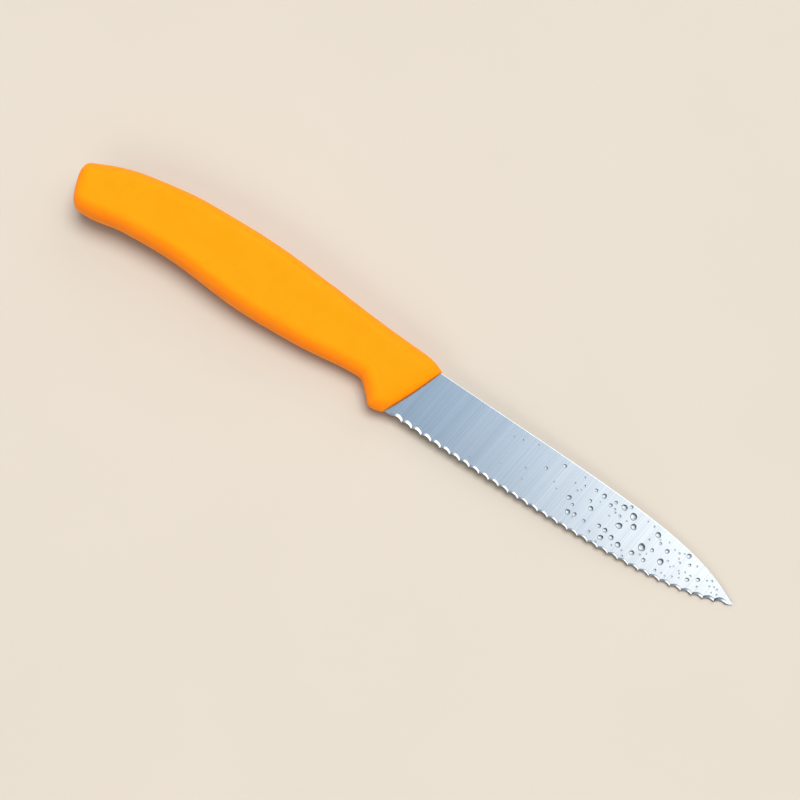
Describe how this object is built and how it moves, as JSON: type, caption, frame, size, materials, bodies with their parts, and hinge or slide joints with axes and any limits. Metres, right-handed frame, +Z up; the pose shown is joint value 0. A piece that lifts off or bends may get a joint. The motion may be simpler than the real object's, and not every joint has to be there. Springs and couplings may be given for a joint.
{
  "type": "paring knife",
  "caption": "Small paring knife with a flat-ground, spear-point serrated steel blade held by a hidden tang in a curved moulded plastic handle with a finger notch.",
  "frame": {"origin": "under the middle of the knife's box, on the surface that it lies on", "axes": "+X from the butt to the tip, +Y from the cutting edge to the spine, +Z up through the side that lies uppermost"},
  "size_m": [0.2098, 0.0226, 0.0153],
  "materials": {
    "ground_steel": "satin, brushed across the blade, with bright ground serrations",
    "orange_plastic": "satin moulded plastic with a very fine grain"
  },
  "bodies": {
    "root": {"blade": "ground_steel", "handle": "orange_plastic"}
  },
  "joints": []
}
